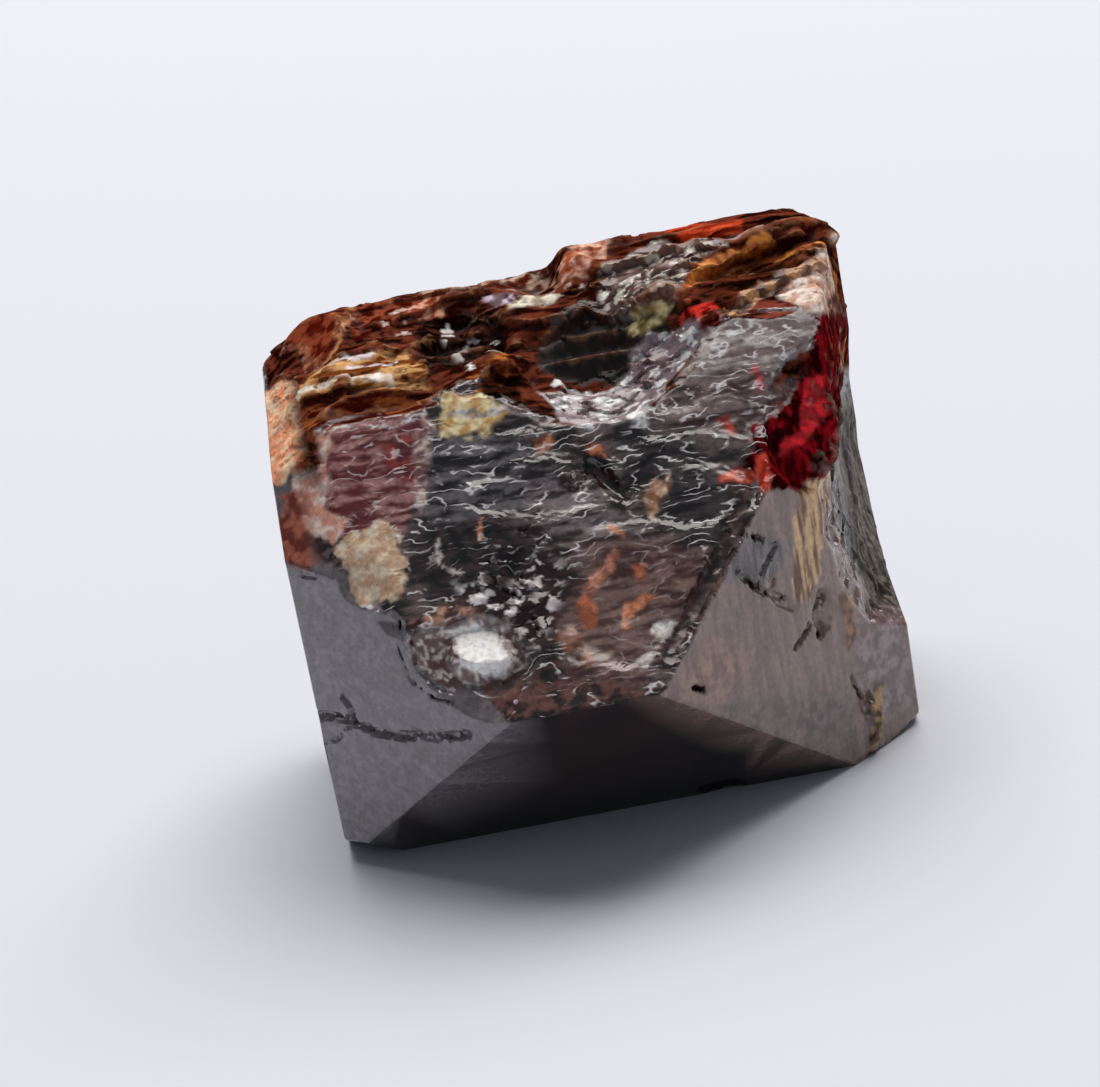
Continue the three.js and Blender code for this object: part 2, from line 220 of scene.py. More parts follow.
def ledgeAt(points, lip, height, reach):  # rises gently from behind and drops sharply at the lip
    flat, lip = points[:, :2], np.array(lip)
    nearest = np.full(len(points), 1e9)
    rise = np.zeros(len(points))
    for start, end in zip(lip, lip[1:]):
        run = end - start
        share = np.clip(((flat - start) @ run) / (run @ run), 0, 1)
        offset = flat - start - share[:, None] * run
        gap = np.linalg.norm(offset, axis=1)
        behind = np.sign(offset[:, 1]) * gap
        step = ramp(behind, -0.12, 0.06) * (1 - ramp(behind, 0.1, reach))
        rise = np.where(gap < nearest, step, rise)
        nearest = np.minimum(gap, nearest)
    tips = np.minimum(*[np.linalg.norm(flat - tip, axis=1) for tip in (lip[0], lip[-1])])
    return height * rise * ramp(tips, 0, 0.8)


def patchAt(points, at, size):  # 1 inside the patch, fading to 0 at its edge
    return 1 - ramp(np.linalg.norm((points - np.array(at)) / np.array(size), axis=1), 0.75, 1.0)


def cleavedAt(points):
    return np.max([patchAt(points, at, size) for at, _, size in crystal["cleavages"].values()], axis=0)


def cleave(points):  # lays the skin flat on each cleavage
    for at, normal, size in crystal["cleavages"].values():
        normal = np.array(normal) / np.linalg.norm(normal)
        height = (points - np.array(at)) @ normal
        points = points - normal * (patchAt(points, at, size) * height)[:, None]
    return points


def stairsAt(points, where):  # treads that lie level and drop to the front in wavy steps
    stairs = crystal["stairs"]
    level = np.zeros(len(points))
    for index in np.nonzero(where > faint)[0]:
        x, y = points[index, :2]
        wave = 0.55 * noise.noise(Vector((x / 4.0, y / 2.0, 1.7)))
        wave += 0.14 * noise.noise(Vector((x / 1.1, y / 0.7, 5.2)))
        level[index] = (y - stairs["turnSlope"] * max(x - stairs["turnFrom"], 0)) / stairs["run"] + wave
    share = level - np.floor(level)
    return stairs["drop"] * (0.5 - share) * ramp(share, 0, stairs["riser"]) * where


def crackAt(points, path, width, torn=1.6):  # 1 along the path, 0 past its width, broken up by noise
    cover = 1 - ramp(gapTo(points, np.array(path)), 0.3 * width, width)
    for index in np.nonzero(cover > faint)[0]:
        blot = noise.noise(Vector(points[index] * 2.6)) + 0.5 * noise.noise(Vector(points[index] * 6.0))
        cover[index] *= min(max(1.0 + torn * blot, 0), 1)
    return cover


def chipsAt(points, where, size, tilt):  # flat chips, each tipped its own way
    rise = np.zeros(len(points))
    for index in np.nonzero(where > faint)[0]:
        place = Vector(points[index] / size)
        centre = noise.voronoi(place)[1][0]
        lean = noise.cell_vector(centre * 17.3)
        rise[index] = (place - centre).dot(lean * 2 - Vector((1, 1, 1)))
    return rise * where * tilt


def roughAt(points, where, size, height):
    rise = np.zeros(len(points))
    chosen = where > faint
    rise[chosen] = noisesAt(points[chosen], size, 3)
    return rise * where * height


def terracesAt(points, where):  # low wavy steps that run along the facet
    terraces = crystal["terraces"]
    downY, downZ = terraces["downhill"]
    curlX, curlFall = terraces["curlAt"]
    level = np.zeros(len(points))
    for index in np.nonzero(where > faint)[0]:
        x, y, z = points[index]
        fall = downY * y + downZ * z  # mm down the facet
        wave = noise.noise(Vector((x / 2.4, fall / 1.4, 3.1)))
        wave += 0.4 * noise.noise(Vector((x / 0.7, fall / 0.5, 8.2)))
        swirl = math.hypot(x - curlX, fall - curlFall) if x > terraces["curlFrom"] else fall
        level[index] = swirl / terraces["run"] + terraces["wander"] * wave
    step = level - np.floor(level)
    rise = np.minimum(step / terraces["rises"], (1 - step) / terraces["drops"])
    return rise * where * terraces["height"]


def weigh(piece, name, weights):
    group = piece.vertex_groups.new(name=name)
    for step in range(1, 11):
        chosen = np.nonzero(np.abs(weights - step / 10) <= 0.05)[0]
        if len(chosen):
            group.add(chosen.tolist(), step / 10, "REPLACE")


# Which part of the skin each point is on; "spare" marks plain skin that can do with larger triangles.
def regionsOf(points):
    gaps = np.min([np.abs(heightOver(points, face)) for face in faces], axis=0)
    broken = ramp(gaps, crystal["flatGap"], crystal["breakGap"])
    x, y, z = points.T
    isBack = ramp(y, *crystal["backFrom"])
    isTop = ramp(z + 0.3 * np.abs(y + 5), *crystal["topFrom"]) * (1 - isBack)
    isSide = ramp(x, *crystal["sideFrom"]) * (1 - isTop) * (1 - isBack)
    onUpper = (1 - ramp(np.abs(heightOver(points, "upper")), 0.1, 0.3)) * (1 - ramp(z, 17.6, 18.2))
    onBase = 1 - ramp(z, 0.02, 0.06)
    lowOnLeft = (1 - ramp(x + 11.95, 0.02, 0.06)) * (1 - ramp(z, 6.0, 7.0))
    onLower = 1 - ramp(np.abs(heightOver(points, "lower")), 0.02, 0.06)
    return {
        "spare": np.maximum.reduce([onBase, lowOnLeft, 0.9 * onLower, 0.5 * isBack]),
        "broken": broken,
        "top": broken * isTop * (1 - onUpper),
        "side": broken * isSide,
        "back": broken * isBack,
        "upper": onUpper * (1 - isSide),
    }


def breakSkin(piece):
    points, normals = cleave(pointsOf(piece)), vectorsOf(piece, "normal")
    areas = regionsOf(points)
    upright = ramp(normals[:, 2], *crystal["uprightTo"])
    top = areas["top"] * upright
    side = areas["side"] + areas["top"] * (1 - upright)
    splinter = spotsAt(points, crystal["splinters"]) * top
    hackle = spotsAt(points, crystal["hackles"])
    calm = 1 - crystal["calm"] * cleavedAt(points)
    rise = np.zeros(len(points))
    for lip, height, reach in crystal["ledges"].values():
        rise += ledgeAt(points, lip, height, reach) * top
    for at, size, height in crystal["swells"]:
        gap = np.linalg.norm((points[:, :2] - np.array(at)) / np.array(size), axis=1)
        rise += height * (1 - ramp(gap, 0, 1)) * top
    for path, width, depth in crystal["cracks"].values():
        rise -= crackAt(points, path, width) * depth
    path, width, depth = crystal["groove"]
    rise -= crackAt(points, path, width, 0.5) * depth
    stairs = crystal["stairs"]
    stepped = (1 - ramp(points[:, 1], *stairs["behind"])) * ramp(points[:, 0], *stairs["rightOf"])
    rise += stairsAt(points, top * calm * stepped)
    where = {
        "calmTop": top * calm,
        "topAndSplinters": (0.25 * top + 0.5 * splinter) * calm,
        "calmSplinters": splinter * calm,
        "plainTop": top * (1 - splinter),
        "hackles": hackle,
        "side": side,
        "back": areas["back"],
    }
    for kind, area, size, height in crystal["relief"]:
        rise += (chipsAt if kind == "chips" else roughAt)(points, where[area], size, height)
    rise += terracesAt(points, areas["upper"] * (1 - hackle))
    keep = ramp(points[:, 2], *crystal["reliefFrom"])
    moved = points + normals * (rise * keep)[:, None]
    piece.data.vertices.foreach_set("co", (moved * mm).astype(np.float32).ravel())
    piece.data.update()


def makeCrystal():
    piece = addObject("zirconCrystal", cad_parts["zircon_crystal"].data.copy())
    selectOnly(piece)
    bpy.ops.object.mode_set(mode="EDIT")
    bpy.ops.mesh.select_all(action="SELECT")
    bpy.ops.mesh.remove_doubles(threshold=crystal["weld"] * mm)
    bpy.ops.object.mode_set(mode="OBJECT")
    applyModifier(piece, "REMESH", mode="VOXEL", voxel_size=crystal["grain"] * mm, adaptivity=0)
    weigh(piece, "broken", regionsOf(pointsOf(piece))["broken"])
    rounds = crystal["smoothRounds"]
    applyModifier(piece, "SMOOTH", factor=0.5, iterations=rounds, vertex_group="broken")
    print("crystal remeshed:", len(piece.data.polygons), "faces")
    breakSkin(piece)
    print("break surfaces shaped")
    applyModifier(piece, "TRIANGULATE")
    weigh(piece, "spare", regionsOf(pointsOf(piece))["spare"])
    share = crystal["triangles"] / len(piece.data.polygons)
    applyModifier(piece, "DECIMATE", ratio=share, vertex_group="spare")
    bpy.ops.object.shade_smooth_by_angle(angle=math.radians(crystal["sharpAngle"]))
    print("crystal done:", len(piece.data.polygons), "triangles")
    return piece


piece = makeCrystal()
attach(piece, "root")
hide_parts("zircon_crystal")


def addNode(tree, kind, settings, links=()):
    node = tree.nodes.new("ShaderNode" + kind)
    for name, value in settings.items():
        if isinstance(name, int) or name in node.inputs:
            node.inputs[name].default_value = value
        else:
            setattr(node, name, value)
    for name, socket in links:
        tree.links.new(socket, node.inputs[name])
    return node


# Zircon: a hard, heavy, strongly refracting crystal, here dark red-brown and see-through at thin edges.
stone = {
    "ior": 1.95,
    "body": "#d8c8c0",
    "polish": 0.09,
    "lustre": 0.3,          # 0.5 is a clean face; a thin skin of grime takes some of the shine
    "absorbColour": "#efb300",
    "absorbDensity": 1500,  # per metre
    "fineGrain": 0.22,      # mm
    "fineHeight": 0.02,     # mm
    "grainContrast": {"from": (0.35, 0.65), "to": (0.76, 1.2)},  # noise range, brightness range
    "crustFrom": 0.35,      # roughness where a plain crust starts to cover the polish
    "crustFull": 0.6,
    "crestRounds": 12,
    "seed": 5,              # starts the wander of the stains' edges, which else follows the clock
    "softEdge": 0.1,        # mm that a stain fades over, and more for these
    "softEdges": {
        "rust": 0.6, "slateSheen": 0.35, "slateSheenRight": 0.4, "pool": 0.35, "midNet": 0.5, "brownGap": 0.3,
        "rightFoot": 0.8, "rightEnd": 0.6, "orangeHaze": 0.8, "lowerBrown": 1.2, "satinTop": 0.3,
        "footBrown": 0.5, "hacklyGlints": 0.3, "glintFringe": 0.3, "rightPlate": 0.3, "sideGrime": 1.0,
        "backLip": 1.5,
    },
    # mm between growth lines, mm of their waves, how far the waves bend them, width as a share of the
    # gap, their pale colour, which is a painted highlight, and the pattern that breaks them into short
    # runs
    "litGrowthLines": {"apart": 0.48, "waves": 1.1, "stretch": (0.55, 1, 1), "wander": 6.0, "width": 0.13,
                    "colour": "#f4eef0", "runs": (0.9, 3, -0.1, 0.25)},
    # stains that hide the growth lines, and how far
    "unlined": {
        "rust": 0.7, "creamChip": 1, "tanSpot": 1, "glint": 1, "glintFringe": 0.8, "hacklyGlints": 0.7,
        "pinkLeft": 0.6, "pool": 0.6, "maroonFilm": 0.4, "tanChip": 1,
    },
    # painted light: the pale colours on raised crests paint the light that thin edges catch, and the
    # near-black one in hollows is painted shade
    # region, crest in mm where it starts and is full, two colours, cover, see-through share, roughness
    "crestLightAndHollowShade": [
        ("top", 0.03, 0.08, "#c88a54", "#8c4c2c", 0.4, 0.3, 0.5),
        ("top", -0.02, -0.08, "#140806", "#1e0c08", 0.55, 0.3, 0.5),
        ("side", 0.01, 0.05, "#988c80", "#5c4a40", 0.4, 0.1, 0.5),
        ("back", 0.02, 0.08, "#a06c50", "#6c4030", 0.4, 0.3, 0.4),
    ],
    "crackShade": ("#140c0d", "#281a1b", 0.15, 0.6),  # painted shade inside the cracks: two colours, see-through share, roughness
    # patterns that mix a stain's two colours: size in mm, octaves, noise where it starts and is full
    "patterns": {
        "mottle": (0.5, 5, -0.22, 0.3),
        "wisps": ((1.3, 0.3, 0.3), 5, -0.3, 0.35),
        "streak": ((1.9, 0.36, 0.36), 4, -0.2, 0.35),
        "strand": ((0.3, 0.3, 2.2), 4, -0.25, 0.3),
    },
    "chipCell": (0.5, 0.3, 0.3),  # mm, size of one chip in the patterns of chips and flakes
    "chips": (0.42, 0.47),        # shades of a cell from where chips are bright
    "flakes": (0.7, 0.75),
    "swirl": 0.55,                # mm, size of the marbling
    "vein": (0.03, 0.2),          # noise on each side of a vein where it starts to fade and is gone
    "ragged": [(0.8, 0.3), (3.0, 0.16)],  # how the stains' edges wander: waves per mm, reach in mm
    # mm where a facet's stains begin and are full, and where they fade and are gone
    "mapFrom": {
        "top": (-11.93, -11.75), "crown": (14.5, 15.5), "back": (4.4, 5.6), "side": (9.8, 10.8),
        "corner": (11.0, 11.6),
    },
    "mapTo": {"wall": (0, 2), "edge": (-11.2, -10.2), "side": (4.0, 6.4)},
    # facet: the two axes of its map, and how much longer the facet runs than the map
    "maps": {
        "upper": ([0, 2], (1, 1.35)),
        "lower": ([0, 2], (1, 1.35)),
        "left": ([0, 2], (1.35, 1)),
        "right": ([0, 2], (1.35, 1)),
        "corner": ([0, 2], (1.35, 1)),
        "front": ([0, 2], (1.35, 1.2)),
        "crown": ([0, 1], (1, 1)),
        "top": ([0, 1], (1, 1)),
        "wall": ([0, 2], (1, 1)),
        "back": ([0, 2], (1, 1)),
        "edge": ([1, 2], (1, 1)),
        "side": ([1, 2], (1, 1)),
    },
}

# Stains, with painted glints, glows, sheen and shade among them, in the order they are laid: facet,
# outline in mm on its map, bright and dark colour, pattern that mixes them, cover, see-through share,
# roughness.
stainsAndPaintedLight = {
    "ground": ("front", [(-14, -1), (14, -1), (14, 19), (-14, 19)], "#3c2a28", "#1c1212", "mottle", 1,
        0.3, 0.15),
    "sideGround": ("edge", [(-14, -1), (8, -1), (8, 19), (-14, 19)], "#8c8286", "#74686c", "mottle",
        0.85, 0.4, 0.13),
    "backGround": ("back", [(-14, -1), (14, -1), (14, 22), (-14, 22)], "#683c30", "#1e100e", "streak",
        1, 0.25, 0.5),
    "topGround": ("top", [(-12.5, -6), (-12.5, 7), (12.5, 7), (12.5, -6)], "#7c3c2a", "#260a06",
        "streak", 1, 0.3, 0.6),
    # painted shade: the underside, which faces the shadowed paper, is painted near-black
    "lowerGround": ("lower", [(-12, 0), (12, 0), (9.5, 3.5), (1, 8.6), (-6, 7.4)], "#2c1c1a", "#140d0d",
        "mottle", 1, 0.22, 0.12),
    "lowerBrown": ("lower", [(-8, 4.6), (-5.6, 6.6), (-1, 7.7), (3.4, 6.6), (1, 5.6), (-4, 4.4)],
        "#54302a", "#2a1614", "mottle", 0.7, 0.4, 0.14),
    # partly painted reflection: the pale grey of the lower left and right faces adds to the paper they
    # mirror
    "leftGround": ("left", [(-12.5, 0), (-12.5, 13), (-7, 13), (-4, 7), (-10, 0)], "#a8a0a6", "#928a90",
        "mottle", 0.85, 0.4, 0.13),
    "rightGround": ("right", [(0, 6.5), (5, 13.5), (10, 12), (12.5, 5), (12.5, 0), (8, 0)], "#b8988c",
        "#9a7c70", "strand", 0.9, 0.35, 0.14),
    "rightPlate": ("right", [(5.1, 11.9), (6.5, 11.4), (7.2, 10.4), (5.9, 9.2), (4.4, 10.6)], "#8c8288",
        "#1a1214", "strand", 0.8, 0.4, 0.14),
    "rightFoot": ("right", [(2, 7), (5.9, 4.6), (9.4, 3), (8.6, 0.8), (6.3, 2.4), (2.4, 6.3)],
        "#8c7874", "#4a3834", "mottle", 0.8, 0.4, 0.14),
    "rightEnd": ("right", [(9.9, 5.8), (11.9, 5), (11.9, 0.8), (9.6, 0.8), (9.2, 3.5)], "#c4aab0",
        "#6c5256", "mottle", 0.7, 0.3, 0.2),
    "orangeHaze": ("right", [(1.9, 7.4), (3.4, 8.6), (5, 7.4), (4.4, 5.8), (2.8, 6)], "#e0a888",
        "#8a5442", "mottle", 0.5, 0.3, 0.25),
    "ribbon": ("right", [(8.4, 13.2), (9.8, 12.3), (9.9, 10.9), (8.9, 10.4), (8.4, 8.6), (7.8, 7.5),
        (7.2, 8), (7.3, 9.7), (7.8, 11.6)], "#f0c490", "#6c3c24", "strand", 0.95, 0.1, 0.4),
    "upperGround": ("upper", [(-11.2, 8), (-11.2, 18.3), (11, 18.6), (6, 12), (2, 7.6)], "#7c6a68",
        "#2c1e1f", "wisps", 1, 0.25, 0.2),
    "maroonFilm": ("upper", [(-10.2, 18), (-5.4, 18), (-6.4, 14.9), (-7.2, 13.7), (-9.6, 13.8),
        (-10.1, 15.3)], "#cc9490", "#742628", "wisps", 0.95, 0.25, 0.2),
    "redFilm": ("upper", [(-7.4, 16.8), (-6.2, 16.9), (-6.5, 15.2), (-7.6, 15.4)], "#b02c30", "#5c0c10",
        "mottle", 0.8, 0.3, 0.2),
    "pinkLeft": ("upper", [(-10.3, 17.2), (-9.3, 17.1), (-9.7, 15.8), (-10.1, 15), (-9.3, 14.2),
        (-9.8, 13.6), (-10.9, 14), (-11.2, 15.3), (-10.7, 16.5)], "#ffe8dc", "#eca894", "mottle", 0.98,
        0.1, 0.4),
    "pinkSeam": ("upper", [(-5.7, 17.3), (-5.1, 17), (-5.8, 15.5), (-6.3, 14.4), (-6.7, 14.8),
        (-6.2, 16.2)], "#f4dcd0", "#7c4c4c", "mottle", 0.95, 0.15, 0.35),
    # partly painted sheen: the dark grey stands in for the dim ceiling mirrored in the upper facet
    "slateSheen": ("upper", [(-5.5, 16.6), (-3.7, 16.5), (-2, 16), (-1.2, 14.7), (-1, 14.1), (-3.6, 13.7),
        (-5.2, 13.7), (-6.4, 13.5), (-6.2, 14.8)], "#7c787e", "#18171b", "wisps", 0.95, 0.25, 0.16),
    "slateSheenRight": ("upper", [(1.8, 15.9), (4.3, 14.9), (5, 13.6), (5.5, 12.7), (4.5, 11.6), (2.3, 12.4),
        (1.9, 13.6), (1.2, 14.7)], "#4a4344", "#120e0f", "wisps", 0.9, 0.3, 0.16),
    "midNet": ("upper", [(-2.4, 14.9), (-1.1, 14.5), (0.5, 14), (2.1, 12.4), (-0.4, 12.2), (-1.7, 12.9),
        (-2.8, 13.3)], "#988c8e", "#342022", "wisps", 0.85, 0.2, 0.25),
    "darkSeam": ("upper", [(0.1, 15.6), (1, 15.2), (1.2, 14.2), (1.6, 13.4), (1.2, 13.2), (0.4, 14),
        (0.1, 14.7)], "#3c2022", "#050303", "mottle", 1, 0.2, 0.2),
    "pool": ("upper", [(-5.9, 13.8), (-4.2, 13.9), (-3, 13.1), (-2.3, 12.2), (-3.6, 11.5), (-5.8, 11.5),
        (-6.8, 12), (-6.7, 13.3)], "#3e2c2e", "#060404", "mottle", 1, 0.2, 0.2),
    # painted sheen: the grey of the upper facet's right part stands in for the dim ceiling it mirrors
    "satin": ("upper", [(6, 18.5), (10.1, 18.6), (10, 17.7), (9.2, 16.3), (8.1, 15.2), (6.7, 14.9),
        (4.3, 15.1), (3, 16.1), (4.4, 17.2)], "#988480", "#4c2c2c", "wisps", 0.95, 0.25, 0.3),
    "satinTop": ("upper", [(5.6, 18.4), (10.1, 18.6), (9.7, 17.2), (8.2, 16.7), (6, 17), (4.6, 16.9)],
        "#d8d0cc", "#8c7876", "wisps", 0.9, 0.15, 0.35),
    "rust": ("upper", [(-0.6, 12.3), (0.7, 12.6), (2.1, 12.2), (3.6, 11.7), (4.4, 11), (2.6, 9.4),
        (1.5, 8.6), (0.3, 7.9), (-2.1, 8.3), (-1.8, 10.3)], "#94746c", "#54302a", "wisps", 0.95, 0.2,
        0.3),
    "brownGap": ("upper", [(-2.3, 11.6), (-1.3, 11.6), (-1.8, 10.3), (-2, 8.4), (-3, 8.4), (-2.9, 9.8)],
        "#583430", "#0c0504", "mottle", 0.95, 0.3, 0.2),
    # painted glints: white chips in the hackly hollow stand in for sparkles of window light
    "hacklyGlints": ("upper", [(-5.7, 11.9), (-3.6, 11.6), (-2.4, 12.4), (-1.5, 11.7), (-2, 10.7),
        (-2.9, 9.6), (-3.9, 10.1), (-4.4, 11), (-5.4, 11)], "#fff8f8", "#2c1618", "chips", 1, 0.1, 0.2),
    "brownFringe": ("upper", [(-7.6, 11.2), (-5.8, 11.5), (-4.7, 10.9), (-5.4, 10.6), (-6.8, 10.8)],
        "#e0a888", "#40180f", "mottle", 0.95, 0.2, 0.3),
    "glintFringe": ("front", [(-7.7, 10.6), (-6, 10.9), (-4, 10.7), (-3.4, 9.4), (-4.4, 8.1),
        (-6.3, 8.3), (-7.7, 9.2)], "#f8e8e4", "#684844", "marble", 0.95, 0.1, 0.3),
    # painted highlight: the glint is painted white over a cleavage tipped to mirror the window, so part
    # of its brightness is real reflection
    "glint": ("front", [(-6.4, 10.5), (-5.2, 10.7), (-4.3, 10.1), (-3.9, 9.3), (-4.3, 8.7), (-5.2, 8.8),
        (-5.9, 9.5)], "#ffffff", "#f8f6f2", "mottle", 1, 0, 0.2),
    "footBrown": ("upper", [(-6, 8.4), (-3, 8.8), (0, 8.2), (1.6, 7.4), (-2, 7.2), (-5.4, 7.4)],
        "#8a5a4e", "#280e0c", "mottle", 0.9, 0.3, 0.25),
    "tanChip": ("upper", [(2.6, 14), (3.1, 13.9), (2.7, 13.1), (2.3, 12.7), (2, 13.2)], "#ffd8b4",
        "#9a6040", "mottle", 1, 0.1, 0.4),
    "orangeChip": ("upper", [(-1.6, 15.9), (-0.9, 15.9), (-1, 15.3), (-1.5, 15.3)], "#f0a070",
        "#90482c", "mottle", 1, 0.15, 0.35),
    "orangeChipLow": ("upper", [(0.1, 15.4), (1, 15.3), (0.9, 14.9), (0.3, 14.9)], "#f08c58", "#7c3018",
        "mottle", 0.9, 0.2, 0.35),
    "creamChip": ("front", [(-9.8, 13.4), (-8.9, 13.9), (-8.1, 14), (-7.4, 13.4), (-7.2, 12.8),
        (-7.5, 12.1), (-8.2, 11.7), (-9.1, 11.6), (-9.5, 12.3)], "#ffe8cc", "#dcb490", "mottle", 1, 0.1,
        0.4),
    # painted glow: the thin left edge is painted peach and orange for backlight passing through it
    "leftStrip": ("edge", [(2.2, 17.2), (-1, 18.6), (-2.8, 18.6), (-4.6, 17.6), (-5, 15.6),
        (-3.4, 15.2), (0, 16)], "#ffdcb8", "#ffac84", "mottle", 0.98, 0.1, 0.6),
    "leftRed": ("edge", [(-5, 15.2), (-5.8, 15.6), (-6.9, 14.4), (-7.6, 13.6), (-7.6, 12.8),
        (-6.6, 12.8)], "#b86850", "#742c20", "mottle", 0.95, 0.2, 0.5),
    "cornerDark": ("top", [(-12.2, 3.4), (-11, 3.9), (-10.1, 1.8), (-9.8, -0.4), (-10.9, -0.4),
        (-12.2, 1.9)], "#b08880", "#3c100e", "flakes", 0.9, 0.2, 0.6),
    "maroonLeft": ("top", [(-11, 4.4), (-9.3, 4.4), (-8.1, 3.4), (-8.1, 1.6), (-8.8, 0.6), (-9.8, 0.2),
        (-10.4, 2)], "#a04c32", "#5c140a", "mottle", 0.95, 0.2, 0.6),
    "maroonMid": ("top", [(-7.9, 4), (-6.3, 4), (-5.3, 2.9), (-5.5, 1.7), (-6.8, 1.1), (-8, 0.4),
        (-8, 2.3)], "#984c34", "#440e06", "mottle", 0.95, 0.2, 0.6),
    "pinkPatch": ("top", [(-5.3, 3.1), (-4.2, 2.9), (-4.2, 1.8), (-5, 1.3), (-5.6, 1.8)], "#f0b094",
        "#94402c", "mottle", 0.95, 0.15, 0.6),
    "bowl": ("top", [(-5.1, 1.6), (-3.1, 1.9), (-1.9, 0.4), (-1.9, -0.5), (-2.7, -2.8), (-4.6, -2.5),
        (-5.6, -1.3), (-5.3, 0.7)], "#44261f", "#0a0403", "streak", 0.95, 0.3, 0.6),
    # painted glints: pale flecks on the bowl and the treads near it stand in for small sparkles of
    # window light
    "bowlFlakes": ("top", [(-4.5, 1.1), (-3.8, 1.7), (-2.8, 0.6), (-2, -0.6), (-2.4, -3), (-3.7, -3.2),
        (-4.3, -0.2)], "#f4f0ec", "#c0b4b0", "flakes", 0.95, 0.1, 0.3),
    "maroonFlecks": ("top", [(-7.2, 3), (-5.3, 3.1), (-5, 0.6), (-6.8, 0.6)], "#f8e4dc", "#d0a090",
        "flakes", 0.8, 0.1, 0.4),
    "browFlecks": ("top", [(-1.6, 2.4), (0.6, 2.2), (1.9, 0.9), (0.8, -0.2), (-1.6, 0.2)], "#e8d8c8",
        "#a88068", "flakes", 0.8, 0.1, 0.4),
    "yellowBand": ("top", [(-10.2, -1.3), (-9.8, 0), (-7.6, -0.5), (-6, -0.7), (-5.2, -2.8),
        (-6.9, -2.9), (-10.4, -2.1)], "#e8b478", "#7c4018", "streak", 0.95, 0.15, 0.6),
    "brownBand": ("top", [(-10, -2.4), (-6.4, -3), (-4.8, -4.2), (-4.9, -5), (-7, -5), (-10.2, -4.6),
        (-10.4, -2.8)], "#a05830", "#44110a", "streak", 0.98, 0.15, 0.6),
    "orangeStrip": ("top", [(-4.7, -4.7), (-4.3, -3.7), (-2.7, -2.8), (-2, -2.3), (-2.2, -3.3),
        (-3.7, -4.6)], "#dc8040", "#541804", "streak", 0.95, 0.15, 0.6),
    "darkSpur": ("top", [(-2.8, -3.2), (-1.6, -3), (-1.8, -4.9), (-3.5, -4.9)], "#34190f", "#0a0403",
        "streak", 0.95, 0.3, 0.6),
    "paleBrow": ("top", [(-5.3, 4.4), (-2.9, 4.4), (0.3, 4.2), (0.4, 2.3), (-1.8, 2.5), (-4.7, 2.8)],
        "#d4b4a0", "#5c2216", "mottle", 0.85, 0.15, 0.6),
    "lilacSpot": ("top", [(-2.5, 2.1), (-1.2, 1.8), (-1.3, 0.9), (-2.4, 1.3)], "#dcc8e0", "#5c3844",
        "mottle", 1, 0.1, 0.5),
    "paleFlat": ("top", [(-1.5, 1), (0.3, 1.3), (0.6, 0.8), (-0.2, 0.4), (-1.5, 0.1)], "#f4ecd8",
        "#9c8c78", "mottle", 1, 0.1, 0.5),
    "stepEnd": ("top", [(0.6, 2.6), (1.5, 3.2), (3.6, 4.4), (3.7, 2.5), (1.9, 1.3), (0.6, 1.8)],
        "#f8c4ac", "#bc6444", "mottle", 0.95, 0.15, 0.6),
    "blockTop": ("top", [(3.6, 4.4), (9.5, 4.4), (12.2, 3.4), (12.2, 2), (11.1, 0.5), (9, 0.9),
        (5.9, 0.8), (1.9, 1.1)], "#843a28", "#300a06", "streak", 0.95, 0.3, 0.6),
    # painted glow: the block's top edge is painted bright red for backlight shining through it
    "redEdge": ("top", [(5.2, 3), (5.5, 3.9), (6.6, 3.6), (8.5, 3), (8.4, 2), (6, 2.2)], "#f46038",
        "#a8301a", "streak", 0.9, 0.3, 0.6),
    # painted glints: white chips on the block's lower left stand in for sparkles of window light
    "flakeField": ("top", [(2.2, 0.9), (4, 2.4), (5.1, 2.5), (7.4, 0.9), (6.3, 0.1), (5.6, -0.9),
        (4.8, -2), (3.3, -2.2), (2.4, -1.2), (1.9, -0.1)], "#f4f0e2", "#6c4c44", "chips", 0.9, 0.1,
        0.3),
    "scallop": ("top", [(6.2, -1.7), (7.6, 0.2), (10.3, 0.2), (11.9, 1.4), (10.6, -1.2), (8.6, -1.6),
        (6.9, -2.5), (5.4, -2.5)], "#6c3420", "#180502", "streak", 0.95, 0.2, 0.6),
    "underRim": ("top", [(5.5, -2.6), (7, -2.9), (9.4, -2.2), (9.8, -4.2), (8, -4.6), (5.5, -3.8)],
        "#94483a", "#240c08", "streak", 0.95, 0.2, 0.6),
    "redPatch": ("crown", [(4.9, -2.2), (6.4, -2.3), (6.5, -3.4), (4.9, -3.1)], "#f04038", "#5c0a08",
        "mottle", 0.95, 0.2, 0.6),
    "hollowMid": ("top", [(-0.8, -1.3), (1.5, -0.1), (3, -1.4), (4.6, -2.4), (4.8, -2.9), (2.5, -3.1),
        (-0.8, -2.7)], "#2c1612", "#070303", "streak", 0.98, 0.3, 0.5),
    "oliveChip": ("wall", [(2.8, 18.1), (3.4, 18.9), (4.1, 19.2), (4.6, 19.1), (4.1, 18.4),
        (3.3, 17.9)], "#f4e0a8", "#8c7840", "mottle", 1, 0.1, 0.5),
    # painted glints: white chips along the upper facet's top edge stand in for sparkles of window light
    "belt": ("crown", [(-0.9, -3.7), (1.2, -3.5), (2.2, -3), (2.8, -2.5), (3.9, -2.4), (5.3, -2.7),
        (6, -3.6), (4.6, -4.3), (3, -5.3), (2.6, -6.2), (-0.4, -5.6)], "#ffffff", "#948088", "chips",
        0.95, 0.1, 0.25),
    "tanCorner": ("crown", [(8.9, -2.6), (10.4, -1), (12.4, 1.8), (12.4, -1.4), (11.6, -4.2),
        (9.6, -3.6)], "#fff0e4", "#dcae98", "mottle", 0.98, 0.1, 0.6),
